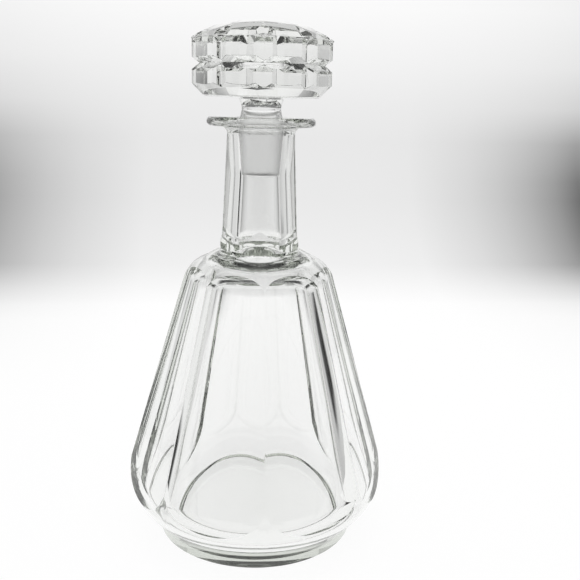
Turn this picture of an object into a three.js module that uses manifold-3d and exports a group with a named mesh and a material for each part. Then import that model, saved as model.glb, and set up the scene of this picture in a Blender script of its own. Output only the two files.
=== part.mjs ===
// A cut crystal decanter with its stopper, in millimetres, +Z up.
// The bottle is one blown piece, cut with flat panels; the stopper is one solid cut piece
// whose ground plug sits in the ground mouth of the neck. The origin is on the table, on the axis.
import * as THREE from 'three';
import { mergeVertices } from 'three/addons/utils/BufferGeometryUtils.js';
import Module from 'manifold-3d';

const wasm = await Module();
wasm.setup();

// Bottle, heights and widths
const FOOT_DIAMETER = 101.6;
const FOOT_HEIGHT = 4.6; // upright edge that stands on the table
const FOOT_FLARE = 0.4; // how much wider the foot is at the top of that edge
const BODY_HEIGHT = 143.8; // table to the top of the shoulder
const SHOULDER_WIDTH = 69; // across the ridges, where the sides would reach the shoulder's top
const SIDE_LEAN = THREE.MathUtils.degToRad(16.3); // of the sides, from upright
const HEEL_EDGE_DIAMETER = 114.4; // of the crease between the cove over the foot and the heel
const HEEL_EDGE_HEIGHT = 11.8;
const HEEL_SLOPE = THREE.MathUtils.degToRad(42); // of the heel where it leaves that crease
const HEEL_ROUNDING = 26.5;
const SHOULDER_ROUNDING = 16.5;
const SHOULDER_SLOPE = THREE.MathUtils.degToRad(27); // of the shoulder where it meets the neck
const NECK_HEIGHT = 63.5; // shoulder level to the underside of the lip
const NECK_ROOT_DIAMETER = 48.2; // of the flared root, where it meets the shoulder
const NECK_ROOT_HEIGHT = 1.1; // of that corner, over shoulder level
const NECK_ROOT_ROUNDING = 3;
const NECK_FLARE_HEIGHT = 9.2; // over shoulder level, where the neck starts to flare out
const NECK_FLARE_ROUNDING = 8;
const NECK_LOW_DIAMETER = 38.4; // of the neck's straight taper, at shoulder level
const NECK_HIGH_DIAMETER = 32.6; // under the lip
const LIP_DIAMETER = 52.8;
const LIP_THICKNESS = 4.3;
const LIP_FLARE = 4; // the round under the lip

// Bottle, panels and inside
const PANELS = 8;
const CUT_ALLOWANCE = 0.3; // the blank stands this much outside the ridges, so each ridge is sharp
const CUT_RUN_OUT = 0.5; // how far the cuts run past what they cut
const ROOT_WIDTH = 38.4; // across two of the four upright flats that trim the flared root
const ROOT_TURN = THREE.MathUtils.degToRad(-4.4); // of these flats against the body's ridges
const ROOT_CREASE_HEIGHT = 2.6; // over shoulder level, where a flat turns out to its ledge
const ROOT_CREASE_ROUNDING = 1.2;
const LEDGE_SLOPE = THREE.MathUtils.degToRad(21);
const WALL = 5.5; // body wall at the middle of a panel
const SHOULDER_WALL = 6;
const BASE_THICKNESS = 13;
const FLOOR_ROUNDING = 12.7;
const CAVITY_SHOULDER_ROUNDING = 12;
const BORE_ROOT_DIAMETER = 23.5;
const BORE_ROOT_ROUNDING = 4;
const MOUTH_DIAMETER = 25;
const MOUTH_DEPTH = 4; // the ground funnel above the seat

// Stopper
const PLUG_TOP_DIAMETER = 22.4; // at the top of the seat
const PLUG_TAPER = 0.16; // change of diameter for each millimetre of height
const PLUG_LENGTH = 24;
const PLUG_EDGE = 0.8;
const SEAT_CLEARANCE = 0.3; // between plug and bore, measured on the radius
const WAIST_DIAMETER = 18.6; // of the stem, before its waist is rounded
const WAIST_HEIGHT = 4.4; // over the bottle's top
const WAIST_ROUNDING = 5;
const STEM_TOP_DIAMETER = 22.6;
const STEM_HEIGHT = 7.8; // lip to the underside of the head
const STEM_OVERLAP = 1.5; // how far the stem runs up into the head
const HEAD_ACROSS_PANELS = 65.6;
const HEAD_PANELS = 10;
const UNDERSIDE_RISE = 1.4; // of the shallow underside, from the axis to the chamfer
const UNDERSIDE_ROUNDING = 3; // between underside and chamfer
const CHAMFER_WIDTH = 5.3; // of the round chamfer that the panels end on
const CHAMFER_HEIGHT = 5.2;
const LOWER_TIER_HEIGHT = 6.9;
const UPPER_TIER_HEIGHT = 8.4;
const NOTCH_WIDTH = 5.4; // of the cut that runs round between the tiers
const NOTCH_DEPTH = 3.8;
const GROOVE_WIDTH = 7.1; // of the upright cuts between the panels
const GROOVE_DEPTH = 2.9; // below the corner where two panels would meet
const CROWN_BEVEL_HEIGHT = 2.4;
const CROWN_BEVEL_WIDTH = 2.7;
const CROWN_HEIGHT = 6.1; // above the bevel
const CROWN_KNEE = 0.62; // the share of that height at which the crown turns flatter
const TABLE_WIDTH = 25; // of the flat on top, across the panels
const GROOVE_CROWN_REACH = 7.5; // how far a groove runs in over the crown
const STOPPER_TURN = THREE.MathUtils.degToRad(-2.4); // how the stopper happens to stand in the neck

// How finely round surfaces are drawn
const ROUND_STEPS = 64;
const ARC_STEP = THREE.MathUtils.degToRad(15);
const OUTSIDE = 200; // larger than the bottle, for tools that reach past it

// A closed solid from any closed geometry.
function solidFrom(geometry) {
  const bare = geometry.clone();
  bare.deleteAttribute('normal');
  bare.deleteAttribute('uv');
  const merged = mergeVertices(bare, 1e-5);
  const corners = merged.index.array;
  const kept = [];
  for (let i = 0; i < corners.length; i += 3) {
    const [a, b, c] = corners.slice(i, i + 3);
    if (a !== b && b !== c && c !== a) kept.push(a, b, c);
  }
  const mesh = new wasm.Mesh({
    numProp: 3,
    vertProperties: new Float32Array(merged.attributes.position.array),
    triVerts: new Uint32Array(kept),
  });
  return new wasm.Manifold(mesh);
}

// A profile turned about +Z. Its points run from the bottom of the axis to the top.
function turned(profile, steps = ROUND_STEPS) {
  const points = profile.map(([radius, height]) => new THREE.Vector2(radius, height));
  const geometry = new THREE.LatheGeometry(points, steps);
  geometry.rotateX(Math.PI / 2);
  return solidFrom(geometry);
}

// An outline from corner points [radius, height, rounding], with each rounding drawn as an arc.
// Where two roundings ask for more than the line between them, both are made smaller.
function rounded(corners) {
  const points = corners.map(([radius, height]) => new THREE.Vector2(radius, height));
  const bends = points.map((point, i) => {
    if (!corners[i][2]) return { reach: 0 };
    const before = points[i - 1].clone().sub(point).normalize();
    const after = points[i + 1].clone().sub(point).normalize();
    const half = Math.acos(THREE.MathUtils.clamp(before.dot(after), -1, 1)) / 2;
    return { before, after, half, reach: corners[i][2] / Math.tan(half) };
  });
  const share = bends.slice(1).map((bend, i) => {
    const wanted = bend.reach + bends[i].reach;
    return Math.min(1, (0.99 * points[i].distanceTo(points[i + 1])) / Math.max(wanted, 1e-9));
  });
  return bends.flatMap(({ before, after, half, reach }, i) => {
    if (reach === 0) return [[points[i].x, points[i].y]];
    const used = reach * Math.min(share[i - 1], share[i]);
    const middle = before.clone().add(after).normalize().multiplyScalar(used / Math.cos(half)).add(points[i]);
    const start = before.clone().multiplyScalar(used).add(points[i]).sub(middle);
    const turn = Math.sign(before.cross(after)) * (Math.PI - 2 * half);
    const steps = Math.max(1, Math.ceil(Math.abs(turn) / ARC_STEP));
    return Array.from({ length: steps + 1 }, (_, k) => {
      const p = start.clone().rotateAround(new THREE.Vector2(), (-turn * k) / steps).add(middle);
      return [p.x, p.y];
    });
  });
}

function named(name, solid, material) {
  const { numProp, vertProperties, triVerts } = solid.getMesh();
  const positions = new Float32Array((vertProperties.length / numProp) * 3);
  for (let i = 0; i < positions.length / 3; i += 1) {
    positions.set(vertProperties.subarray(i * numProp, i * numProp + 3), i * 3);
  }
  const geometry = new THREE.BufferGeometry();
  geometry.setAttribute('position', new THREE.BufferAttribute(positions, 3));
  geometry.setIndex(new THREE.BufferAttribute(new Uint32Array(triVerts), 1));
  geometry.computeVertexNormals();
  const mesh = new THREE.Mesh(geometry, material);
  mesh.name = name;
  return mesh;
}

// Levels and radii that both pieces share
const neckTop = BODY_HEIGHT + NECK_HEIGHT;
const bottleTop = neckTop + LIP_THICKNESS;
const seatTop = bottleTop - MOUTH_DEPTH;
const seatBottom = seatTop - PLUG_LENGTH;
const plugRadius = (height) => (PLUG_TOP_DIAMETER - PLUG_TAPER * (seatTop - height)) / 2;
const acrossFlats = Math.cos(Math.PI / PANELS); // flat-to-flat width over ridge-to-ridge width

// Radius of the body's ridges at a height, on the straight part of its sides.
const ridgeRadius = (height) => SHOULDER_WIDTH / 2 + (BODY_HEIGHT - height) * Math.tan(SIDE_LEAN);

// Radius of the neck's straight taper at a height.
const neckRadius = (height) =>
  THREE.MathUtils.mapLinear(height, BODY_HEIGHT, neckTop, NECK_LOW_DIAMETER, NECK_HIGH_DIAMETER) / 2;

// Where the heel's slope would meet the side, before the heel is rounded.
function heelCorner() {
  const rise = Math.tan(HEEL_SLOPE);
  const edge = HEEL_EDGE_DIAMETER / 2;
  const run = (ridgeRadius(HEEL_EDGE_HEIGHT) - edge) / (1 + rise * Math.tan(SIDE_LEAN));
  return [edge + run + CUT_ALLOWANCE, HEEL_EDGE_HEIGHT + run * rise, HEEL_ROUNDING];
}

// Where the neck starts to flare, before that bend is rounded.
function flareCorner() {
  const height = BODY_HEIGHT + NECK_FLARE_HEIGHT;
  return [neckRadius(height), height, NECK_FLARE_ROUNDING];
}

// Where the shoulder would meet the flared root, before that corner is rounded.
function rootCorner() {
  return [NECK_ROOT_DIAMETER / 2, BODY_HEIGHT + NECK_ROOT_HEIGHT, NECK_ROOT_ROUNDING];
}

// Where the side would meet the shoulder's slope, before the shoulder is rounded.
function shoulderCorner() {
  const [rootRadius, rootHeight] = rootCorner();
  const fall = Math.tan(SHOULDER_SLOPE);
  const side = ridgeRadius(rootHeight) + CUT_ALLOWANCE;
  const run = (side - rootRadius) / (1 - fall * Math.tan(SIDE_LEAN));
  return [rootRadius + run, rootHeight - run * fall, SHOULDER_ROUNDING];
}

// The blank before cutting: a round bottle with its foot, neck and lip.
function bottleBlank() {
  const foot = FOOT_DIAMETER / 2;
  const heelEdge = HEEL_EDGE_DIAMETER / 2;
  return turned(
    rounded([
      [0, 0],
      [foot, 0],
      [foot + FOOT_FLARE, FOOT_HEIGHT],
      [foot + (heelEdge - foot) * 0.34, FOOT_HEIGHT + (HEEL_EDGE_HEIGHT - FOOT_HEIGHT) * 0.6],
      [heelEdge, HEEL_EDGE_HEIGHT],
      heelCorner(),
      shoulderCorner(),
      rootCorner(),
      flareCorner(),
      [neckRadius(neckTop), neckTop, LIP_FLARE],
      [LIP_DIAMETER / 2, neckTop, LIP_THICKNESS * 0.48],
      [LIP_DIAMETER / 2, bottleTop, LIP_THICKNESS * 0.48],
      [0, bottleTop],
    ]),
  );
}

// What the body's flat cuts leave: eight sides that lean in.
function bodyEnvelope() {
  const cutLevel = BODY_HEIGHT + CUT_RUN_OUT;
  return turned(
    [
      [0, -1],
      [ridgeRadius(-1), -1],
      [ridgeRadius(cutLevel), cutLevel],
      [OUTSIDE, cutLevel],
      [OUTSIDE, bottleTop + 1],
      [0, bottleTop + 1],
    ],
    PANELS,
  );
}

// What the four upright flats leave of the flared root, with the ledge under each of them.
function rootEnvelope() {
  const half = ROOT_WIDTH / 2;
  const crease = BODY_HEIGHT + ROOT_CREASE_HEIGHT;
  const flatTop = BODY_HEIGHT + NECK_FLARE_HEIGHT + CUT_RUN_OUT;
  const middle = rounded([
    [0, -1],
    [OUTSIDE, -1],
    [OUTSIDE, crease - (OUTSIDE - half) * Math.tan(LEDGE_SLOPE)],
    [half, crease, ROOT_CREASE_ROUNDING],
    [half, flatTop],
    [OUTSIDE, flatTop],
    [OUTSIDE, bottleTop + 1],
    [0, bottleTop + 1],
  ]);
  const corners = middle.map(([distance, height]) => [distance * Math.SQRT2, height]);
  return turned(corners, 4).rotate([0, 0, THREE.MathUtils.radToDeg(ROOT_TURN) + 45]);
}

// The hollow: the round cavity of the body, the bore of the neck and its tapered seat.
function bottleHollow() {
  const wallRadius = (height) => ridgeRadius(height) * acrossFlats - WALL / Math.cos(SIDE_LEAN);
  const ceiling = BODY_HEIGHT - SHOULDER_WALL;
  return turned(
    rounded([
      [0, BASE_THICKNESS],
      [wallRadius(BASE_THICKNESS), BASE_THICKNESS, FLOOR_ROUNDING],
      [wallRadius(ceiling), ceiling, CAVITY_SHOULDER_ROUNDING],
      [BORE_ROOT_DIAMETER / 2, ceiling, BORE_ROOT_ROUNDING],
      [plugRadius(seatBottom) + SEAT_CLEARANCE, seatBottom],
      [plugRadius(seatTop) + SEAT_CLEARANCE, seatTop],
      [MOUTH_DIAMETER / 2, bottleTop],
      [MOUTH_DIAMETER / 2, bottleTop + 1],
      [0, bottleTop + 1],
    ]),
  );
}

function bottle() {
  return bottleBlank().intersect(bodyEnvelope()).intersect(rootEnvelope()).subtract(bottleHollow());
}

// Levels of the stopper's head, from the underside up
const headBottom = bottleTop + STEM_HEIGHT;
const tierBottom = headBottom + UNDERSIDE_RISE + CHAMFER_HEIGHT;
const notchBottom = tierBottom + LOWER_TIER_HEIGHT;
const notchTop = notchBottom + NOTCH_WIDTH;
const tierTop = notchTop + UPPER_TIER_HEIGHT;
const bevelTop = tierTop + CROWN_BEVEL_HEIGHT;
const crownTop = bevelTop + CROWN_HEIGHT;

// The head's ten sides, with the cut that runs round between the tiers and the crown.
function headSides() {
  const corner = 1 / Math.cos(Math.PI / HEAD_PANELS);
  const face = (HEAD_ACROSS_PANELS / 2) * corner;
  const bevel = face - CROWN_BEVEL_WIDTH * corner;
  const table = (TABLE_WIDTH / 2) * corner;
  return turned(
    [
      [0, headBottom - 1],
      [face, headBottom - 1],
      [face, notchBottom],
      [face - NOTCH_DEPTH * corner, (notchBottom + notchTop) / 2],
      [face, notchTop],
      [face, tierTop],
      [bevel, bevelTop],
      [(bevel + table) / 2, bevelTop + CROWN_HEIGHT * CROWN_KNEE],
      [table, crownTop],
      [0, crownTop],
    ],
    HEAD_PANELS,
  );
}

// The round blank of the head: a shallow underside and the chamfer that the sides end on.
function headBlank() {
  const chamferTop = HEAD_ACROSS_PANELS / 2;
  const grow = OUTSIDE / 10;
  return turned(
    rounded([
      [0, headBottom],
      [chamferTop - CHAMFER_WIDTH, headBottom + UNDERSIDE_RISE, UNDERSIDE_ROUNDING],
      [chamferTop + grow * CHAMFER_WIDTH, tierBottom + grow * CHAMFER_HEIGHT],
      [0, tierBottom + grow * CHAMFER_HEIGHT],
    ]),
  );
}

// One upright V cut at a corner of the head, carried in over the crown.
function grooveTool() {
  const corner = HEAD_ACROSS_PANELS / 2 / Math.cos(Math.PI / HEAD_PANELS);
  const half = GROOVE_WIDTH / 2;
  const bottom = corner - GROOVE_DEPTH;
  const slope = half / (corner - half * Math.tan(Math.PI / HEAD_PANELS) - bottom);
  const reach = corner;
  const vee = new THREE.Shape([
    new THREE.Vector2(0, 0),
    new THREE.Vector2(reach * slope, -reach),
    new THREE.Vector2(-reach * slope, -reach),
  ]);
  const upright = new THREE.ExtrudeGeometry(vee, { depth: tierTop - headBottom, bevelEnabled: false });
  upright.translate(0, -bottom, headBottom - 1);
  const lean = Math.atan2(GROOVE_CROWN_REACH, CROWN_BEVEL_HEIGHT + CROWN_HEIGHT * CROWN_KNEE);
  const over = new THREE.ExtrudeGeometry(vee, { depth: OUTSIDE / 4, bevelEnabled: false });
  over.rotateX(-lean);
  over.translate(0, -bottom, tierTop - 1);
  return solidFrom(upright).add(solidFrom(over));
}

// The waisted stem and the tapered plug, turned round.
function stopperPlug() {
  const tip = plugRadius(seatBottom);
  const stemTop = headBottom + STEM_OVERLAP;
  return turned(
    rounded([
      [0, seatBottom],
      [tip - PLUG_EDGE, seatBottom],
      [tip, seatBottom + PLUG_EDGE],
      [plugRadius(seatTop), seatTop],
      [WAIST_DIAMETER / 2, bottleTop + WAIST_HEIGHT, WAIST_ROUNDING],
      [STEM_TOP_DIAMETER / 2, stemTop],
      [0, stemTop],
    ]),
  );
}

function stopper() {
  let head = headSides().intersect(headBlank());
  const tool = grooveTool();
  for (let i = 0; i < HEAD_PANELS; i += 1) {
    head = head.subtract(tool.rotate([0, 0, (360 / HEAD_PANELS) * i]));
  }
  return head.add(stopperPlug());
}

export const parts = new THREE.Group();

const crystal = new THREE.MeshStandardMaterial({ color: 0xf1f5f5, roughness: 0.02, metalness: 0 });
const cutCrystal = new THREE.MeshStandardMaterial({ color: 0xeaf0f1, roughness: 0.03, metalness: 0 });

parts.add(named('bottle', bottle(), crystal));

const stopperMesh = named('stopper', stopper(), cutCrystal);
stopperMesh.rotation.z = STOPPER_TURN;
parts.add(stopperMesh);

export default parts;
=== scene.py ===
"""A cut crystal decanter with its stopper, on a white paper sweep under soft light."""
import math
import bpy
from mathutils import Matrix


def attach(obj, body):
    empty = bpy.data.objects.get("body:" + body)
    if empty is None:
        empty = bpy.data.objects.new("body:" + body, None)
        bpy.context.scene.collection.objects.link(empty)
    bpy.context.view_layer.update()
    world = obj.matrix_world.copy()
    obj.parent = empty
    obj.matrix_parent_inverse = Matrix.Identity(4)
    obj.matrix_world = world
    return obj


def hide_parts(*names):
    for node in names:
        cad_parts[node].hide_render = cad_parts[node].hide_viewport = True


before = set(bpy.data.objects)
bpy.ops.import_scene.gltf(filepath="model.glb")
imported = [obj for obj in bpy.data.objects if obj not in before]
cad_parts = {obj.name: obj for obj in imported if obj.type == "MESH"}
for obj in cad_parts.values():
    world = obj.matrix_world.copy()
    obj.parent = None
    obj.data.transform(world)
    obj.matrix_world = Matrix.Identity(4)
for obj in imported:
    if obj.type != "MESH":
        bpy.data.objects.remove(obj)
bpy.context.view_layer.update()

from types import SimpleNamespace

import bmesh
import bpy
import numpy as np
from bpy.props import FloatProperty, IntProperty, PointerProperty, StringProperty
from mathutils import Matrix, Vector

bl_info = {
    "name": "Cut crystal decanter",
    "version": (1, 0, 0),
    "blender": (4, 5, 0),
    "location": "3D View > Sidebar > Decanter",
    "description": "Builds a panel-cut decanter, its cut stopper and a white stage for it",
    "category": "Add Mesh",
}


# Upright lines round the bottle, and the points along each stretch of them, from the table up
UPRIGHT_LINES = 192
FOOT_ROWS, EDGE_ROWS, COVE_ROWS, HEEL_ROWS, PANEL_ROWS = 4, 3, 7, 26, 12
SHOULDER_ROWS, ROOT_ROWS, NECK_ROWS = 40, 40, 120
# Where the cove over the foot bends, as shares of its width and of its height
COVE_OUT, COVE_UP = 0.34, 0.6
# The rounding of the lip's edges, as a share of its thickness
LIP_ROUND = 0.48
# How far a cutting tool reaches past what it cuts, in metres
OVERRUN = 0.001
# Steps round the stopper's blank and round its plug
HEAD_STEPS, PLUG_STEPS = 128, 96
# The first ring of points round the middle of the foot, as a share of the foot's radius, and the
# last one round the middle of the hollow's floor, in metres
FIRST_RING, LAST_RING = 0.02, 0.0005
# The most degrees between two faces of one smooth surface
BOTTLE_SMOOTH, STOPPER_SMOOTH = 9, 8
# A face counts as upright when its normal rises less than this
UPRIGHT_RISE = 0.3
# The name under which a mesh keeps which of its faces are ground matt
GROUND = "ground"
# Lead crystal: how strongly it bends light, and the roughness and grit of its ground faces
CRYSTAL_IOR = 1.545
GROUND_ROUGHNESS = 0.32
GRIT_MM, GRIT_DEPTH_MM = 0.4, 0.03
# The share of the light that clear crystal lets through into its own shadow
SHADOW_CLEARNESS = 0.75
# How bright the paper's painted tones of light and shade are, and the share of them in what is
# seen of the paper; the rest of what is seen is the paper as it is lit, with the object's shadow
PAPER_STRENGTH = 1.04
PAPER_PAINTED_SHARE = 0.9
# Where the paper's middle line is, to the right of the object
PAPER_LINE = 0.07
# The paper's left and right edge beside the object, and how far each moves out per metre behind it
PAPER_SIDES = ((-0.2, -0.25), (0.25, 0.46))
# The soft box: its width and its place
LAMP_WIDTH = 0.9
LAMP_PLACE = (0, 0.1, 0.95)
# Painted light and shade of the paper along its middle line, by distance from the object up
# the sweep in metres: darker in front and low up the back, where less light falls
PAPER_MIDDLE = (
    (-0.3, 0.62), (-0.12, 1.0), (0.45, 1.0), (0.506, 0.95), (0.574, 0.875), (0.66, 0.843),
    (0.725, 0.82), (0.833, 0.812), (0.885, 0.843), (0.94, 0.9), (1.01, 0.966),
)
# Painted shade: how much of the light is lost at a distance from that line
PAPER_FALL = (
    (0.12, 0.0), (0.175, 0.013), (0.215, 0.09), (0.255, 0.17), (0.297, 0.29), (0.338, 0.44),
    (0.377, 0.61), (0.411, 0.8), (0.48, 0.9),
)
# The share of that loss which applies, by distance up the sweep
PAPER_FALL_SHARE = (
    (0.2, 0.05), (0.39, 0.15), (0.45, 0.3), (0.506, 0.55), (0.574, 1.0), (0.725, 1.0),
    (0.765, 0.94), (0.833, 0.69), (0.885, 0.27), (0.94, 0.13), (1.01, 0.1),
)
# Tones of the room at the object's level, by degrees clockwise from straight behind it
ROOM_LEVEL = (
    (-180, 0.05), (-140, 0.1), (-120, 0.5), (-105, 0.65), (-88, 0.75), (-78, 0.9), (-64, 0.9),
    (-56, 0.72), (55, 0.72), (82, 0.55), (100, 0.6), (115, 0.6), (140, 0.1), (180, 0.05),
)
# Tones above and under that, by the height of the direction: pale over the horizon, dim at the
# ceiling and under the table
ROOM_HIGH = ((0.3, 0.85), (0.5, 0.85), (0.62, 0.03), (1.0, 0.03))
ROOM_RISE = ((0.05, 0.0), (0.3, 1.0))
ROOM_LOW = ((-0.5, 0.05), (-0.35, 1.0))
ROOM_SEEN = 0.85  # what the camera sees of the room itself
# Two low dark things in the room, each by its turns and by its heights
DARK_RIGHT = (
    ((58, 0.0), (63, 1.0), (76, 1.0), (82, 0.0)),
    ((-0.17, 0.0), (-0.13, 1.0), (0.0, 1.0), (0.06, 0.0)),
)
DARK_LEFT = (
    ((-76, 0.0), (-73, 1.0), (-66, 1.0), (-63, 0.0)),
    ((-0.3, 0.0), (-0.24, 1.0), (-0.16, 1.0), (-0.12, 0.0)),
)


def length(name, description, default):
    """One size in metres, shown in the sidebar as a distance."""
    return FloatProperty(
        name=name, description=description, default=default, min=0.0, precision=4, unit="LENGTH"
    )


def angle(name, description, degrees):
    """One angle, kept in radians and shown in degrees."""
    return FloatProperty(
        name=name, description=description, default=math.radians(degrees), subtype="ANGLE"
    )


class BottleSettings(bpy.types.PropertyGroup):
    """Sizes of the blown and cut bottle."""

    panels: IntProperty(name="Panels", description="Flat cuts round the bottle", default=8, min=3)
    foot_width: length("Foot", "Diameter of the foot on the table", 0.1016)
    foot_height: length("Foot edge", "Height of the foot's upright edge", 0.0046)
    foot_flare: length("Foot flare", "How much wider the foot is at the top of its edge", 0.0004)
    heel_edge_width: length("Heel crease", "Diameter of the crease over the foot", 0.1144)
    heel_edge_height: length("Heel crease height", "Height of that crease", 0.0118)
    heel_slope: angle("Heel slope", "Slope of the heel at the crease", 42)
    heel_rounding: length("Heel rounding", "Radius of the round heel", 0.0265)
    body_height: length("Body height", "Table to shoulder top", 0.1438)
    shoulder_width: length("Shoulder width", "Across the ridges at shoulder level", 0.069)
    side_lean: angle("Side lean", "Lean of the sides from upright", 16.3)
    shoulder_rounding: length("Shoulder rounding", "Radius of the round shoulder", 0.0165)
    shoulder_slope: angle("Shoulder slope", "Slope of the shoulder where it meets the neck", 27)
    neck_height: length("Neck height", "Shoulder level to the underside of the lip", 0.0635)
    neck_low_width: length("Neck, low", "Diameter of the straight taper, at shoulder level", 0.0384)
    neck_high_width: length("Neck, high", "Diameter of the neck under the lip", 0.0326)
    flare_height: length("Neck flare", "Shoulder level to where the neck flares out", 0.0092)
    flare_rounding: length("Flare rounding", "Round in which the flare begins", 0.008)
    root_width: length("Neck root", "Diameter of the flared root on the shoulder", 0.0482)
    root_height: length("Neck root height", "That corner over shoulder level", 0.0011)
    root_rounding: length("Neck root rounding", "Round between shoulder and root", 0.003)
    lip_width: length("Lip", "Diameter of the lip", 0.0528)
    lip_thickness: length("Lip thickness", "Thickness of the lip", 0.0043)
    lip_flare: length("Lip flare", "Round under the lip", 0.004)
    ridge_rounding: length("Ridge rounding", "Polished round of a ridge, at the shoulder", 0.0006)
    cut_allowance: length("Cut allowance", "How far the blank stands outside the ridges", 0.00004)
    cut_run_out: length("Cut run-out", "How far a root flat runs past the flare", 0.0005)
    root_flats: length("Root flats", "Across two of the flats that trim the root", 0.0384)
    root_turn: angle("Root turn", "Turn of these flats against the body's ridges", -4.4)
    root_corner: length("Root corner", "Round of a corner between two of them", 0.013)
    crease_height: length("Root crease", "Crease under a root flat, over shoulder level", 0.0026)
    crease_rounding: length("Crease rounding", "Round in that crease", 0.0012)
    ledge_slope: angle("Ledge slope", "Slope of the ledge under a root flat", 21)
    wall: length("Wall", "Body wall at the middle of a panel", 0.0055)
    shoulder_wall: length("Shoulder wall", "Thickness of the shoulder", 0.006)
    base: length("Base", "Thickness of the base", 0.013)
    floor_rounding: length("Floor rounding", "Round at the edge of the cavity's floor", 0.0127)
    cavity_rounding: length("Cavity rounding", "Round under the shoulder, inside", 0.012)
    bore_root_width: length("Bore root", "Bore where it opens into the cavity", 0.0235)
    bore_root_rounding: length("Bore root rounding", "Round at that opening", 0.004)
    mouth_width: length("Mouth", "Funnel's diameter at the top", 0.025)
    mouth_depth: length("Mouth depth", "Depth of the ground funnel", 0.004)


class StopperSettings(bpy.types.PropertyGroup):
    """Sizes of the solid cut stopper."""

    sides: IntProperty(name="Sides", description="Flats round the head", default=10, min=3)
    plug_top_width: length("Plug", "Diameter of the plug at the top of its seat", 0.0224)
    plug_taper: FloatProperty(
        name="Plug taper", description="Diameter lost for each unit of height", default=0.16
    )
    plug_length: length("Plug length", "Length of the ground plug in its seat", 0.024)
    plug_edge: length("Plug edge", "Bevel round the plug's end", 0.0008)
    seat_clearance: length("Seat clearance", "Gap between plug and bore", 0.0003)
    waist_width: length("Waist", "Diameter of the stem's waist, before rounding", 0.0186)
    waist_height: length("Waist height", "Waist over the bottle's top", 0.0044)
    waist_rounding: length("Waist rounding", "Round of the waist", 0.005)
    stem_top_width: length("Stem top", "Diameter of the stem at the head", 0.0226)
    stem_height: length("Stem height", "Lip to the underside of the head", 0.0078)
    stem_overlap: length("Stem overlap", "How far the stem reaches into the head", 0.0015)
    head_width: length("Head", "Across the flats of the head", 0.0656)
    underside_rise: length("Underside rise", "Rise of the head's underside", 0.0014)
    underside_rounding: length("Underside rounding", "Round from underside to chamfer", 0.003)
    chamfer_width: length("Chamfer width", "Width of the lower round chamfer", 0.0053)
    chamfer_height: length("Chamfer height", "Height of the lower round chamfer", 0.0052)
    lower_tier: length("Lower tier", "Height of the lower tier", 0.0069)
    upper_tier: length("Upper tier", "Height of the upper tier", 0.0084)
    notch_width: length("Notch width", "Width of the cut between the tiers", 0.0054)
    notch_depth: length("Notch depth", "Depth of that cut", 0.0038)
    groove_width: length("Groove width", "Width of the upright cuts", 0.0071)
    groove_depth: length("Groove depth", "Depth of the upright cuts at a corner", 0.0029)
    bevel_height: length("Bevel height", "Height of the crown's first facet", 0.0024)
    bevel_width: length("Bevel width", "Width of the crown's first facet", 0.0027)
    crown_height: length("Crown height", "Height of the crown over that facet", 0.0061)
    crown_knee: FloatProperty(
        name="Crown knee", description="Share of its height where it turns flatter", default=0.62
    )
    table_width: length("Table", "Flat on top, across the flats", 0.025)
    crown_reach: length("Groove reach", "How far a groove runs in over the crown", 0.0075)
    turn: angle("Turn", "How the stopper stands in the neck", -2.4)
    edge: length("Polished edge", "Width of the softened edge between two cuts", 0.0003)


class FinishSettings(bpy.types.PropertyGroup):
    """Colours and surfaces."""

    crystal: StringProperty(name="Crystal", description="Colour of the crystal", default="#FFFFFF")
    depth: StringProperty(name="Depth", description="Tint of thick crystal", default="#BCC4B4")
    paper: StringProperty(name="Paper", description="Colour of the sweep", default="#F7F6F7")


class StageSettings(bpy.types.PropertyGroup):
    """The lamp and the viewpoint."""

    top_light: FloatProperty(name="Top light", description="Watts of the soft box", default=5.0)
    distance: length("Camera distance", "Level distance from the bottle's axis", 0.385)
    height: length("Camera height", "Height over the table", 0.2197)
    around: angle("Camera round", "Turn of the camera about the bottle's axis", -3.9)
    tilt: angle("Camera tilt", "How far the camera looks down", 13.67)
    roll: angle("Camera roll", "Roll of the camera, clockwise", 1.4)
    aside: angle("Camera aside", "How far it looks to the right of the axis", 2.36)
    lens: FloatProperty(name="Lens", description="Focal length in mm", default=48.35)


def linear(hex_colour):
    """An sRGB hex colour as linear red, green, blue and alpha."""
    parts = [int(hex_colour[i : i + 2], 16) / 255 for i in (1, 3, 5)]
    return [c / 12.92 if c <= 0.04045 else ((c + 0.055) / 1.055) ** 2.4 for c in parts] + [1.0]


def add_node(tree, kind, inputs=None, **settings):
    """Adds one shader node. A value in inputs is a constant, or the output that feeds it."""
    node = tree.nodes.new(kind)
    for name, value in settings.items():
        setattr(node, name, value)
    for socket, value in (inputs or {}).items():
        if isinstance(value, bpy.types.NodeSocket):
            tree.links.new(value, node.inputs[socket])
        else:
            node.inputs[socket].default_value = value
    return node


def new_material(name):
    """A material with an empty node tree."""
    material = bpy.data.materials.new(name)
    material.use_nodes = True
    material.node_tree.nodes.clear()
    return material, material.node_tree


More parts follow.
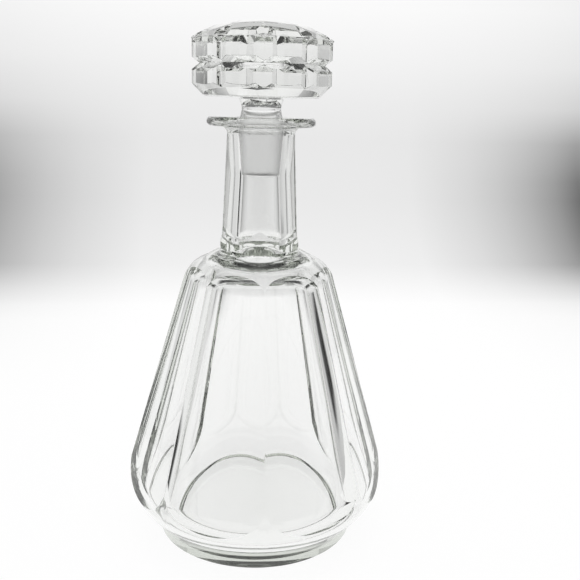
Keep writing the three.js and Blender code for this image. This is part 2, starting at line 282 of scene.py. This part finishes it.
def cut_crystal(name, wave_mm, wave_depth_mm, depth_tint):
    """Lead crystal, cut and polished: clear, heavy and bright, with sharp thin dark lines where
    two cuts meet. A slight waviness, as wide as wave_mm, is left by blowing and by the polishing
    wheel, and bends what is seen through the wall. Where light runs a long way in the glass, as
    along its edges, depth_tint turns it greyer. Faces marked as ground are matt: a soft white
    frost that still lets light through. Its grit is about 0.1 mm, drawn larger so that it
    shows."""
    material, tree = new_material(name)
    colours = bpy.context.scene.decanter_finish
    place = add_node(tree, "ShaderNodeTexCoord").outputs["Object"]
    ground = add_node(tree, "ShaderNodeAttribute", attribute_name=GROUND).outputs["Fac"]
    waves = add_node(
        tree, "ShaderNodeTexNoise", {"Vector": place, "Scale": 1000 / wave_mm, "Detail": 1.0}
    )
    wavy = add_node(
        tree,
        "ShaderNodeBump",
        {"Height": waves.outputs[0], "Distance": wave_depth_mm / 1000, "Strength": 1.0},
    )
    grit = add_node(
        tree, "ShaderNodeTexNoise", {"Vector": place, "Scale": 1000 / GRIT_MM, "Detail": 2.0}
    )
    rough = add_node(
        tree,
        "ShaderNodeBump",
        {
            "Height": math_node(tree, "MULTIPLY", grit.outputs[0], ground),
            "Distance": GRIT_DEPTH_MM / 1000,
            "Strength": 1.0,
            "Normal": wavy.outputs[0],
        },
    )
    glass = add_node(
        tree,
        "ShaderNodeBsdfPrincipled",
        {
            "Base Color": linear(colours.crystal),
            "Roughness": math_node(tree, "MULTIPLY", ground, GROUND_ROUGHNESS),
            "IOR": CRYSTAL_IOR,
            "Transmission Weight": 1.0,
            "Normal": rough.outputs[0],
        },
    )
    clear = add_node(tree, "ShaderNodeBsdfTransparent")
    shadow = add_node(tree, "ShaderNodeLightPath").outputs["Is Shadow Ray"]
    mix = add_node(
        tree,
        "ShaderNodeMixShader",
        {
            0: math_node(tree, "MULTIPLY", shadow, SHADOW_CLEARNESS),
            1: glass.outputs[0],
            2: clear.outputs[0],
        },
    )
    depth = add_node(
        tree,
        "ShaderNodeVolumeAbsorption",
        {"Color": linear(colours.depth), "Density": depth_tint},
    )
    add_node(
        tree, "ShaderNodeOutputMaterial", {"Surface": mix.outputs[0], "Volume": depth.outputs[0]}
    )
    return material


def mark_ground(mesh, marks):
    """Marks the faces that are ground matt."""
    layer = mesh.attributes.new(GROUND, "FLOAT", "FACE")
    layer.data.foreach_set("value", [float(mark) for mark in marks])


def outline(corners, step=math.radians(2)):
    """Points (radius, height) through corners (radius, height, rounding), roundings as arcs."""
    points = [Vector(corner[:2]) for corner in corners]
    drawn = []
    for i, corner in enumerate(corners):
        if len(corner) < 3:
            drawn.append(tuple(corner))
            continue
        before = (points[i - 1] - points[i]).normalized()
        after = (points[i + 1] - points[i]).normalized()
        half = math.acos(max(-1.0, min(1.0, before.dot(after)))) / 2
        middle = points[i] + (before + after).normalized() * (corner[2] / math.sin(half))
        start = points[i] + before * (corner[2] / math.tan(half)) - middle
        turn = math.pi - 2 * half
        if before.x * after.y - before.y * after.x > 0:
            turn = -turn
        steps = max(2, math.ceil(abs(turn) / step))
        for k in range(steps + 1):
            c, s = math.cos(turn * k / steps), math.sin(turn * k / steps)
            p = Vector((start.x * c - start.y * s, start.x * s + start.y * c)) + middle
            drawn.append((p.x, p.y))
    return np.array(drawn)


def way_along(points):
    """How far each point of a polyline is from its first one, along the polyline."""
    return np.concatenate([[0], np.cumsum(np.linalg.norm(np.diff(points, axis=0), axis=1))])


def points_along(points, along, wanted):
    """The polyline's points at the wanted distances along it."""
    return np.column_stack([np.interp(wanted, along, points[:, i]) for i in (0, 1)])


def spread(points, count):
    """The polyline as count points at equal distances along it."""
    points = np.asarray(points, float)
    along = way_along(points)
    return points_along(points, along, np.linspace(0, along[-1], count))


def refined(points, step=0.001):
    """The polyline with more points on its long straight runs."""
    along = way_along(points)
    return points_along(points, along, np.union1d(along, np.arange(0, along[-1], step)))


def bottle_top(b):
    """Height of the lip's upper face."""
    return b.body_height + b.neck_height + b.lip_thickness


def seat_top(b):
    """Height at which the funnel of the mouth ends and the seat begins."""
    return bottle_top(b) - b.mouth_depth


def plug_radius(b, s, height):
    """Radius of the tapered plug at a height."""
    return (s.plug_top_width - s.plug_taper * (seat_top(b) - height)) / 2


def ridge_radius(b, height):
    """Radius of the body's ridges at a height, on the straight part of its sides."""
    return b.shoulder_width / 2 + (b.body_height - height) * math.tan(b.side_lean)


def neck_radius(b, height):
    """Radius of the neck's straight taper at a height."""
    share = (height - b.body_height) / b.neck_height
    return (b.neck_low_width + (b.neck_high_width - b.neck_low_width) * share) / 2


def blank_outline(b):
    """The bottle before cutting, from the crease over the foot to the edge of the mouth."""
    rise = math.tan(b.heel_slope)
    edge = b.heel_edge_width / 2
    run = (ridge_radius(b, b.heel_edge_height) - edge) / (1 + rise * math.tan(b.side_lean))
    neck_top = b.body_height + b.neck_height
    round_lip = b.lip_thickness * LIP_ROUND
    extra = b.cut_allowance
    root = b.body_height + b.root_height
    root_radius = b.root_width / 2
    flare = b.body_height + b.flare_height
    fall = math.tan(b.shoulder_slope)
    reach = ridge_radius(b, root) + extra - root_radius
    reach /= 1 - fall * math.tan(b.side_lean)
    line = outline(
        [
            (edge, b.heel_edge_height),
            (edge + run + extra, b.heel_edge_height + run * rise, b.heel_rounding),
            (root_radius + reach, root - reach * fall, b.shoulder_rounding),
            (root_radius, root, b.root_rounding),
            (neck_radius(b, flare), flare, b.flare_rounding),
            (neck_radius(b, neck_top), neck_top, b.lip_flare),
            (b.lip_width / 2, neck_top, round_lip),
            (b.lip_width / 2, bottle_top(b), round_lip),
            (b.mouth_width / 2, bottle_top(b)),
        ]
    )
    return refined(line)


def root_flat_outline(b):
    """A flat that trims the neck's flared root, seen from the side, with the ledge under it, as
    (distance from the axis, height)."""
    half = b.root_flats / 2
    crease = b.body_height + b.crease_height
    top = b.body_height + b.flare_height + b.cut_run_out
    run = 0.014
    return outline(
        [
            (half + run, crease - run * math.tan(b.ledge_slope)),
            (half, crease, b.crease_rounding),
            (half, top),
            (half + 0.03, top),
        ]
    )


def ring(corners, rounding, bend, first):
    """A cross-section with rounded corners, as (turn, distance from the axis) for each of the
    upright lines. Corners are (turn, distance). Each round has bend steps; line number first
    runs up the middle of the first round."""
    closed = [corners[-1], *corners, corners[0]]
    points = [(r * math.cos(t), r * math.sin(t), rounding) for t, r in closed]
    points[0], points[-1] = points[0][:2], points[-1][:2]
    flat = UPRIGHT_LINES // len(corners) - bend
    arcs = outline(points, 1.01 * math.tau / len(corners) / bend)[1:-1]
    arcs = arcs.reshape(len(corners), bend + 1, 2)
    drawn = []
    for before, after in zip(arcs, np.roll(arcs, -1, axis=0)):
        drawn += [*before, *spread([before[-1], after[0]], flat + 1)[1:-1]]
    drawn = np.roll(drawn, first - bend // 2, axis=0)
    turns = np.unwrap(np.arctan2(drawn[:, 1], drawn[:, 0]))
    return np.column_stack([turns, np.hypot(drawn[:, 0], drawn[:, 1])])


def body_ring(b):
    """The body's panels, for ridges at a distance of one."""
    corners = [(math.tau * i / b.panels, 1.0) for i in range(b.panels)]
    return ring(corners, b.ridge_rounding / (b.shoulder_width / 2), 8, 0)


def root_ring(b):
    """The four flats that trim the neck's root, for flats at a distance of one."""
    corners = [(math.pi * (i + 0.5) / 2, math.sqrt(2)) for i in range(4)]
    lines = ring(corners, b.root_corner / (b.root_flats / 2), 24, UPRIGHT_LINES // 8)
    return lines + (b.root_turn, 0)


def sign_changes(values):
    """Where values pass through zero, as positions along the list."""
    at = np.nonzero(np.diff(np.sign(values)))[0]
    return [i + values[i] / (values[i] - values[i + 1]) for i in at]


def point_at(points, position):
    """The point at a position along the list, between two points if it isn't whole."""
    i = min(int(position), len(points) - 2)
    return points[i] + (points[i + 1] - points[i]) * (position - i)


def stretch(points, start, end):
    """The part of a polyline between two positions along it."""
    inner = [points[i] for i in range(math.floor(start) + 1, math.ceil(end))]
    return np.array([point_at(points, start), *inner, point_at(points, end)])


def root_run(blank, flat, share):
    """A flat of the neck's root along one upright line: its points, and where they start and end
    along the blank. The flat lies share times as far out there as at its middle."""
    cut = np.interp(blank[:, 1], flat[:-1, 1], flat[:-1, 0] * share)
    near = (blank[:, 1] > flat[0, 1]) & (blank[:, 1] < flat[-1, 1] - 1e-5)
    start, end = sign_changes(np.where(near, blank[:, 0] - cut, -1e-3))[:2]
    low, high = point_at(blank, start), point_at(blank, end)
    inside = (flat[:, 1] > low[1]) & (flat[:, 1] < high[1])
    inside &= flat[:, 0] * share < max(low[0], high[0])
    return np.vstack([low, flat[inside] * (share, 1), high]), start, end


def outer_column(b, blank, flat, body_line, root_line):
    """The bottle's outside along one upright line, as (radius, height, turn about the axis).
    Every line has the same number of points, so the lines join as a grid and each cut's edge
    runs along it. On the round shoulder a line crosses over from its place on the body's
    panels to its place on the neck."""
    body_turn, share = body_line
    neck_turn, root_share = root_line
    cut = share * ridge_radius(b, blank[:, 1])
    in_body = blank[:, 1] < b.body_height - 1e-6
    low, high = sign_changes(np.where(in_body, blank[:, 0] - cut, -1e-3))[:2]
    root, start, end = root_run(blank, flat, root_share)
    foot, crease = b.foot_width / 2, b.heel_edge_width / 2
    rise = b.heel_edge_height - b.foot_height
    cove = [
        (foot + b.foot_flare, b.foot_height),
        (foot + (crease - foot) * COVE_OUT, b.foot_height + rise * COVE_UP),
        (crease, b.heel_edge_height),
    ]
    body_rows = [
        spread([(foot * FIRST_RING, 0), (foot, 0)], FOOT_ROWS),
        spread([(foot, 0), cove[0]], EDGE_ROWS)[1:],
        spread(cove, COVE_ROWS)[1:],
        spread(stretch(blank, 0, low), HEEL_ROWS)[1:],
        spread([point_at(blank, low), point_at(blank, high)], PANEL_ROWS)[1:],
    ]
    shoulder_rows = spread(stretch(blank, high, start), SHOULDER_ROWS)[1:]
    neck = stretch(blank, end, len(blank) - 1)
    neck_rows = [spread(root, ROOT_ROWS)[1:], spread(neck, NECK_ROWS)[1:]]
    turns = np.concatenate(
        [
            np.full(sum(map(len, body_rows)), body_turn),
            np.linspace(body_turn, neck_turn, len(shoulder_rows) + 1)[1:],
            np.full(sum(map(len, neck_rows)), neck_turn),
        ]
    )
    return np.column_stack([np.vstack([*body_rows, shoulder_rows, *neck_rows]), turns])


def inner_line(b, s):
    """The inside, from the edge of the mouth down to the middle of the floor: the funnel of the
    mouth, the seat of the plug, and the bore with the hollow of the body."""
    flat = math.cos(math.pi / b.panels)
    wall = b.wall / math.cos(b.side_lean)
    ceiling = b.body_height - b.shoulder_wall
    top = seat_top(b)
    low = top - s.plug_length
    hollow = outline(
        [
            (plug_radius(b, s, low) + s.seat_clearance, low),
            (b.bore_root_width / 2, ceiling, b.bore_root_rounding),
            (ridge_radius(b, ceiling) * flat - wall, ceiling, b.cavity_rounding),
            (ridge_radius(b, b.base) * flat - wall, b.base, b.floor_rounding),
            (LAST_RING, b.base),
        ]
    )
    seat = [(plug_radius(b, s, top) + s.seat_clearance, top), tuple(hollow[0])]
    mouth = [(b.mouth_width / 2, bottle_top(b)), seat[0]]
    return spread(mouth, 4), spread(seat, 6), hollow


def bottle_points(columns, inner):
    """The bottle's points row by row, up the outside and then down the inside, which keeps the
    turns at which the outside ends."""
    points = []
    for row in range(len(columns[0]) + len(inner)):
        for column in columns:
            radius, height, turn = column[min(row, len(column) - 1)]
            if row >= len(column):
                radius, height = inner[row - len(column)]
            points.append((radius * math.sin(turn), -radius * math.cos(turn), height))
    return points


def bottle_faces(rows, matt_rows):
    """Faces between neighbouring rows, with a fan that closes the foot and one that closes the
    floor of the hollow, whose middles are the last two points; and which faces are ground."""
    faces, matt = [], []
    following = [(i, (i + 1) % UPRIGHT_LINES) for i in range(UPRIGHT_LINES)]
    for row in range(rows - 1):
        low, high = row * UPRIGHT_LINES, (row + 1) * UPRIGHT_LINES
        for i, j in following:
            faces.append((low + i, low + j, high + j, high + i))
            matt.append(row in matt_rows)
    last = (rows - 1) * UPRIGHT_LINES
    foot_middle = rows * UPRIGHT_LINES
    for i, j in following:
        faces.append((foot_middle, j, i))
        faces.append((foot_middle + 1, last + i, last + j))
        matt += [False, False]
    return faces, matt


def build_bottle(b, s):
    """The blown and cut bottle, with the funnel of its mouth ground matt."""
    blank, flat = blank_outline(b), root_flat_outline(b)
    lines = zip(body_ring(b), root_ring(b))
    columns = [outer_column(b, blank, flat, *pair) for pair in lines]
    mouth, seat, hollow = inner_line(b, s)
    inner = np.vstack([mouth[1:], seat[1:], hollow[1:]])
    first_matt = len(columns[0]) - 1
    matt_rows = range(first_matt, first_matt + len(mouth) - 1)
    faces, matt = bottle_faces(len(columns[0]) + len(inner), matt_rows)
    mesh = bpy.data.meshes.new("bottle_glass")
    mesh.from_pydata(bottle_points(columns, inner) + [(0, 0, 0), (0, 0, b.base)], [], faces)
    bottle = add_object("bottle_glass", mesh)
    name = "blown lead crystal, cut and polished"
    mesh.materials.append(cut_crystal(name, wave_mm=22, wave_depth_mm=0.002, depth_tint=7.0))
    mark_ground(mesh, matt)
    shade(mesh, BOTTLE_SMOOTH)
    return bottle


def add_object(name, mesh):
    """A new object in the scene that holds the mesh, lamp or camera."""
    thing = bpy.data.objects.new(name, mesh)
    bpy.context.scene.collection.objects.link(thing)
    return thing


def shade(mesh, sharp_degrees):
    """Smooth shading, with an edge kept sharp where its faces meet at more than that angle."""
    mesh.polygons.foreach_set("use_smooth", [True] * len(mesh.polygons))
    mesh.set_sharp_from_angle(angle=math.radians(sharp_degrees))
    mesh.update()


def turned(name, profile, steps):
    """A closed solid turned about +Z from (radius, height) points, from axis to axis."""
    shape = bmesh.new()
    rings = []
    for radius, height in profile:
        turns = [math.tau * i / steps for i in range(steps if radius > 1e-6 else 1)]
        round_points = [(radius * math.sin(t), -radius * math.cos(t), height) for t in turns]
        rings.append([shape.verts.new(point) for point in round_points])
    for low, high in zip(rings, rings[1:]):
        for i in range(steps):
            j = (i + 1) % steps
            if len(low) == 1:
                shape.faces.new((low[0], high[j], high[i]))
            elif len(high) == 1:
                shape.faces.new((low[i], low[j], high[0]))
            else:
                shape.faces.new((low[i], low[j], high[j], high[i]))
    mesh = bpy.data.meshes.new(name)
    shape.to_mesh(mesh)
    shape.free()
    return add_object(name, mesh)


def evaluated(thing):
    """The object's mesh with its modifiers applied."""
    graph = bpy.context.evaluated_depsgraph_get()
    return bpy.data.meshes.new_from_object(thing.evaluated_get(graph))


def join_or_cut(thing, others, operation):
    """Joins the other objects to a thing, or cuts it with them, and removes them."""
    for other in others:
        step = thing.modifiers.new("step", "BOOLEAN")
        step.operation = operation
        step.solver = "EXACT"
        step.object = other
    mesh = evaluated(thing)
    thing.modifiers.clear()
    thing.data = mesh
    for other in others:
        bpy.data.objects.remove(other)


def head_levels(b, s):
    """Heights of the head's edges, from its underside up."""
    bottom = bottle_top(b) + s.stem_height
    tier = bottom + s.underside_rise + s.chamfer_height
    notch = tier + s.lower_tier
    tier_top = notch + s.notch_width + s.upper_tier
    bevel = tier_top + s.bevel_height
    return SimpleNamespace(
        bottom=bottom,
        tier=tier,
        notch=notch,
        notch_top=notch + s.notch_width,
        tier_top=tier_top,
        bevel=bevel,
        knee=bevel + s.crown_height * s.crown_knee,
        top=bevel + s.crown_height,
    )


def head_sides(b, s):
    """The head's sides, with the cut that runs round between the tiers and the crown."""
    at = head_levels(b, s)
    corner = 1 / math.cos(math.pi / s.sides)
    face = s.head_width / 2 * corner
    bevel_radius = face - s.bevel_width * corner
    table = s.table_width / 2 * corner
    return turned(
        "stopper_cut",
        [
            (0, at.bottom - OVERRUN),
            (face, at.bottom - OVERRUN),
            (face, at.notch),
            (face - s.notch_depth * corner, (at.notch + at.notch_top) / 2),
            (face, at.notch_top),
            (face, at.tier_top),
            (bevel_radius, at.bevel),
            ((bevel_radius + table) / 2, at.knee),
            (table, at.top),
            (0, at.top),
        ],
        s.sides,
    )


def head_blank(b, s):
    """The round blank of the head: a shallow underside and the chamfer that the sides end on."""
    at = head_levels(b, s)
    face = s.head_width / 2
    grow = 20
    profile = outline(
        [
            (0, at.bottom),
            (face - s.chamfer_width, at.bottom + s.underside_rise, s.underside_rounding),
            (face + grow * s.chamfer_width, at.tier + grow * s.chamfer_height),
            (0, at.tier + grow * s.chamfer_height),
        ]
    )
    return turned("blank", profile, HEAD_STEPS)


def wedge(name, slope, reach, depth):
    """A three-sided bar with one edge on the origin's vertical, opening towards -Y."""
    shape = bmesh.new()
    ends = []
    for height in (0, depth):
        ends.append(
            [
                shape.verts.new((0, 0, height)),
                shape.verts.new((-reach * slope, -reach, height)),
                shape.verts.new((reach * slope, -reach, height)),
            ]
        )
    shape.faces.new(reversed(ends[0]))
    shape.faces.new(ends[1])
    for i in range(3):
        j = (i + 1) % 3
        shape.faces.new((ends[0][i], ends[0][j], ends[1][j], ends[1][i]))
    mesh = bpy.data.meshes.new(name)
    shape.to_mesh(mesh)
    shape.free()
    return mesh


def groove_tools(b, s):
    """The upright V cuts at the head's corners, each carried in over the crown."""
    at = head_levels(b, s)
    corner = s.head_width / 2 / math.cos(math.pi / s.sides)
    half = s.groove_width / 2
    deepest = corner - s.groove_depth
    slope = half / (corner - half * math.tan(math.pi / s.sides) - deepest)
    lean = math.atan2(s.crown_reach, s.bevel_height + s.crown_height * s.crown_knee)
    lean = Matrix.Rotation(-lean, 4, "X")
    height = at.tier_top - at.bottom + OVERRUN / 2
    past_crown = 0.05
    tools = []
    for i in range(s.sides):
        turn = Matrix.Rotation(math.tau * i / s.sides, 4, "Z")
        upright = add_object("groove", wedge("groove", slope, corner, height))
        upright.data.transform(turn @ Matrix.Translation((0, -deepest, at.bottom - OVERRUN)))
        over = add_object("groove", wedge("groove", slope, corner, past_crown))
        tip = Matrix.Translation((0, -deepest, at.tier_top - OVERRUN)) @ lean
        over.data.transform(turn @ tip)
        tools += [upright, over]
    return tools


def stopper_plug(b, s):
    """The tapered plug and the waisted stem."""
    top = seat_top(b)
    low = top - s.plug_length
    tip = plug_radius(b, s, low)
    stem_top = bottle_top(b) + s.stem_height + s.stem_overlap
    profile = outline(
        [
            (0, low),
            (tip - s.plug_edge, low),
            (tip, low + s.plug_edge),
            (plug_radius(b, s, top), top),
            (s.waist_width / 2, bottle_top(b) + s.waist_height, s.waist_rounding),
            (s.stem_top_width / 2, stem_top),
            (0, stem_top),
        ]
    )
    return turned("plug", profile, PLUG_STEPS)


def build_stopper(b, s):
    """The solid stopper: its head is cut from a round blank and joined to the plug, its edges
    are softened by polishing, and the round of the plug is ground matt."""
    stopper = head_sides(b, s)
    join_or_cut(stopper, [head_blank(b, s)], "INTERSECT")
    join_or_cut(stopper, groove_tools(b, s), "DIFFERENCE")
    join_or_cut(stopper, [stopper_plug(b, s)], "UNION")
    soften = stopper.modifiers.new("polished edges", "BEVEL")
    soften.width = s.edge
    soften.segments = 1
    soften.limit_method = "ANGLE"
    soften.angle_limit = math.radians(20)
    stopper.data = evaluated(stopper)
    stopper.modifiers.clear()
    mesh = stopper.data
    mesh.transform(Matrix.Rotation(s.turn, 4, "Z"))
    mesh.materials.clear()
    mesh.polygons.foreach_set("material_index", [0] * len(mesh.polygons))
    name = "solid lead crystal, cut and polished"
    mesh.materials.append(cut_crystal(name, wave_mm=12, wave_depth_mm=0.0005, depth_tint=2.5))
    top = seat_top(b)
    low = top - s.plug_length + s.plug_edge / 2
    mark_ground(
        mesh,
        [
            abs(face.normal.z) < UPRIGHT_RISE and low < face.center.z < top
            for face in mesh.polygons
        ],
    )
    shade(mesh, STOPPER_SMOOTH)
    return stopper


def tone_ramp(tree, value, stops):
    """A grey tone read off between stops (value, tone). The stops' tones are linear light."""
    low, high = stops[0][0], stops[-1][0]
    place = add_node(
        tree, "ShaderNodeMapRange", {"Value": value, "From Min": low, "From Max": high}
    )
    node = add_node(tree, "ShaderNodeValToRGB", {0: place.outputs[0]})
    marks = node.color_ramp.elements
    for i, (at, tone) in enumerate(stops):
        mark = marks[i] if i < 2 else marks.new(1.0)
        mark.position = (at - low) / (high - low)
        mark.color = (tone, tone, tone, 1)
    return node.outputs[0]


def math_node(tree, operation, *values):
    """One step of arithmetic on values, each a constant or the output that feeds it."""
    return add_node(tree, "ShaderNodeMath", dict(enumerate(values)), operation=operation).outputs[0]


def stage_paper(name):
    """White photo paper: matt, white round the object, with painted shade that makes it greyer up
    the back and most of all at the sides there, where less of the light falls. What the camera and
    the glass see of it is mostly this painted tone, given off as light; the paper's own colour is
    darkened by the same painted shade, and the rest keeps the object's own shadow."""
    material, tree = new_material(name)
    place = add_node(tree, "ShaderNodeTexCoord")
    at = add_node(tree, "ShaderNodeSeparateXYZ", {0: place.outputs["Object"]})
    along = math_node(tree, "ADD", at.outputs["Y"], at.outputs["Z"])
    # Painted light and shade: tones along the sweep's middle line, made darker towards its sides
    middle = tone_ramp(tree, along, PAPER_MIDDLE)
    right = math_node(tree, "SUBTRACT", at.outputs["X"], PAPER_LINE)
    aside = math_node(tree, "ABSOLUTE", right)
    fall = tone_ramp(tree, aside, PAPER_FALL)
    share = tone_ramp(tree, along, PAPER_FALL_SHARE)
    loss = math_node(tree, "MULTIPLY", fall, share)
    tone = math_node(tree, "MULTIPLY", middle, math_node(tree, "SUBTRACT", 1.0, loss))
    # The painted tone, given off as light for what the camera and the glass see
    light = add_node(tree, "ShaderNodeEmission", {"Color": tone, "Strength": PAPER_STRENGTH})
    colours = bpy.context.scene.decanter_finish
    # The paper's own colour, darkened by the same painted shade
    paper_with_painted_shade = add_node(
        tree, "ShaderNodeVectorMath", {0: tone, 1: linear(colours.paper)[:3]}, operation="MULTIPLY"
    )
    paper = add_node(tree, "ShaderNodeBsdfDiffuse", {"Color": paper_with_painted_shade.outputs[0]})
    path = add_node(tree, "ShaderNodeLightPath")
    glass = math_node(
        tree, "MAXIMUM", path.outputs["Is Transmission Ray"], path.outputs["Is Glossy Ray"]
    )
    either = math_node(tree, "MAXIMUM", glass, path.outputs["Is Camera Ray"])
    seen = math_node(tree, "MULTIPLY", either, PAPER_PAINTED_SHARE)
    mix = add_node(
        tree, "ShaderNodeMixShader", {0: seen, 1: paper.outputs[0], 2: light.outputs[0]}
    )
    add_node(tree, "ShaderNodeOutputMaterial", {"Surface": mix.outputs[0]})
    return material


def build_sweep():
    """A sheet of paper that lies under the object and curves up behind it, wider at the back. It
    lies a hair under the table's level, so that the foot stands clear of it."""
    curve, start, front, top, under = 0.22, 0.45, -0.25, 0.75, 0.0003
    side = [(front, 0.0), (0.0, 0.0), (start, 0.0)]
    for i in range(1, 17):
        a = math.pi / 2 * i / 16
        side.append((start + curve * math.sin(a), curve * (1 - math.cos(a))))
    side.append((start + curve, top))
    shape = bmesh.new()
    rows = []
    for y, z in side:
        ends = [edge + widening * max(y, 0) for edge, widening in PAPER_SIDES]
        rows.append([shape.verts.new((x, y, z - under)) for x in ends])
    for a, b in zip(rows, rows[1:]):
        shape.faces.new((a[0], a[1], b[1], b[0]))
    mesh = bpy.data.meshes.new("paper_sweep")
    shape.to_mesh(mesh)
    shape.free()
    shade(mesh, 30)
    sweep = add_object("paper_sweep", mesh)
    mesh.materials.append(stage_paper("matt white photo paper"))
    return sweep


def build_world():
    """The room: pale over the horizon, dim at the ceiling, in front and under the table, with two
    low dark things in it, so that the crystal's edges draw dark lines. Seen straight, past the
    edge of the paper, it is an even pale grey."""
    world = bpy.data.worlds.new("room")
    bpy.context.scene.world = world
    world.use_nodes = True
    tree = world.node_tree
    tree.nodes.clear()
    place = add_node(tree, "ShaderNodeTexCoord")
    at = add_node(tree, "ShaderNodeSeparateXYZ", {0: place.outputs["Generated"]})
    turn = math_node(tree, "ARCTAN2", at.outputs["X"], at.outputs["Y"])
    degrees = math_node(tree, "MULTIPLY", turn, 180 / math.pi)
    level = tone_ramp(tree, degrees, ROOM_LEVEL)
    for turns, heights in (DARK_RIGHT, DARK_LEFT):
        width = tone_ramp(tree, degrees, turns)
        loss = math_node(tree, "MULTIPLY", width, tone_ramp(tree, at.outputs["Z"], heights))
        level = math_node(tree, "MULTIPLY", level, math_node(tree, "SUBTRACT", 1.0, loss))
    high = tone_ramp(tree, at.outputs["Z"], ROOM_HIGH)
    rise = tone_ramp(tree, at.outputs["Z"], ROOM_RISE)
    gain = math_node(tree, "MULTIPLY", rise, math_node(tree, "SUBTRACT", high, level))
    above = math_node(tree, "ADD", level, gain)
    under = tone_ramp(tree, at.outputs["Z"], ROOM_LOW)
    tone = math_node(tree, "MULTIPLY", above, under)
    camera_ray = add_node(tree, "ShaderNodeLightPath").outputs["Is Camera Ray"]
    pale = math_node(tree, "MULTIPLY", camera_ray, ROOM_SEEN)
    tone = math_node(tree, "MAXIMUM", tone, pale)
    back = add_node(tree, "ShaderNodeBackground", {"Color": tone, "Strength": 1.0})
    add_node(tree, "ShaderNodeOutputWorld", {"Surface": back.outputs[0]})


def build_camera(v):
    """The viewpoint of the photo, which looks a little down and past the bottle's axis."""
    camera = bpy.data.cameras.new("camera")
    viewpoint = add_object("camera", camera)
    camera.sensor_width = 36
    camera.lens = v.lens
    forward = Vector((0, math.cos(v.tilt), -math.sin(v.tilt)))
    up = Vector((0, math.sin(v.tilt), math.cos(v.tilt)))
    right = Vector((1, 0, 0))
    aside = Matrix.Rotation(v.around - v.aside, 3, "Z")
    forward, up, right = aside @ forward, aside @ up, aside @ right
    level = right * math.cos(v.roll) + up * math.sin(v.roll)
    top = up * math.cos(v.roll) - right * math.sin(v.roll)
    turn = Matrix((level, top, -forward)).transposed()
    place = Matrix.Rotation(v.around, 3, "Z") @ Vector((0, -v.distance, v.height))
    viewpoint.matrix_world = Matrix.Translation(place) @ turn.to_4x4()
    bpy.context.scene.camera = viewpoint


def follow_light():
    """Light is followed through many surfaces, because it is thrown to and fro inside the cuts."""
    paths = bpy.context.scene.cycles
    paths.max_bounces = paths.transmission_bounces = 24
    paths.glossy_bounces = 12


def build_lamp(v):
    """A soft box overhead, which the crystal doesn't mirror."""
    lamp = bpy.data.lights.new("soft_box", "AREA")
    lamp.shape = "RECTANGLE"
    lamp.size = lamp.size_y = LAMP_WIDTH
    lamp.energy = v.top_light
    box = add_object("soft_box", lamp)
    box.location = LAMP_PLACE
    box.visible_transmission = box.visible_glossy = False


class DECANTER_OT_bottle(bpy.types.Operator):
    """Build the blown and cut bottle"""

    bl_idname = "decanter.bottle"
    bl_label = "Bottle"

    def execute(self, context):
        scene = context.scene
        bottle = build_bottle(scene.decanter_bottle, scene.decanter_stopper)
        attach(bottle, "bottle")
        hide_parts("bottle")
        return {"FINISHED"}


class DECANTER_OT_stopper(bpy.types.Operator):
    """Build the solid cut stopper"""

    bl_idname = "decanter.stopper"
    bl_label = "Stopper"

    def execute(self, context):
        scene = context.scene
        stopper = build_stopper(scene.decanter_bottle, scene.decanter_stopper)
        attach(stopper, "stopper")
        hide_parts("stopper")
        return {"FINISHED"}


class DECANTER_OT_stage(bpy.types.Operator):
    """Build the paper sweep, the lamp, the room and the camera"""

    bl_idname = "decanter.stage"
    bl_label = "Stage"

    def execute(self, context):
        build_sweep()
        build_world()
        build_lamp(context.scene.decanter_stage)
        build_camera(context.scene.decanter_stage)
        follow_light()
        context.scene.view_settings.view_transform = "Standard"
        return {"FINISHED"}


class DECANTER_PT_panel(bpy.types.Panel):
    """Lists the decanter's pieces"""

    bl_label = "Decanter"
    bl_idname = "DECANTER_PT_panel"
    bl_space_type = "VIEW_3D"
    bl_region_type = "UI"
    bl_category = "Decanter"

    def draw(self, context):
        for operator in (DECANTER_OT_bottle, DECANTER_OT_stopper, DECANTER_OT_stage):
            self.layout.operator(operator.bl_idname)
        for name in SETTINGS:
            group = getattr(context.scene, name)
            box = self.layout.box()
            for key in group.bl_rna.properties.keys():
                if key not in {"rna_type", "name"}:
                    box.prop(group, key)


SETTINGS = {
    "decanter_bottle": BottleSettings,
    "decanter_stopper": StopperSettings,
    "decanter_finish": FinishSettings,
    "decanter_stage": StageSettings,
}
CLASSES = (
    *SETTINGS.values(),
    DECANTER_OT_bottle,
    DECANTER_OT_stopper,
    DECANTER_OT_stage,
    DECANTER_PT_panel,
)


def register():
    """Adds the settings, operators and panel to Blender."""
    for item in CLASSES:
        bpy.utils.register_class(item)
    for name, group in SETTINGS.items():
        setattr(bpy.types.Scene, name, PointerProperty(type=group))


def unregister():
    """Takes them out again."""
    for name in SETTINGS:
        delattr(bpy.types.Scene, name)
    for item in reversed(CLASSES):
        bpy.utils.unregister_class(item)


def main():
    """Builds the decanter and its stage."""
    register()
    bpy.ops.decanter.bottle()
    bpy.ops.decanter.stopper()
    bpy.ops.decanter.stage()


if __name__ == "__main__":
    main()
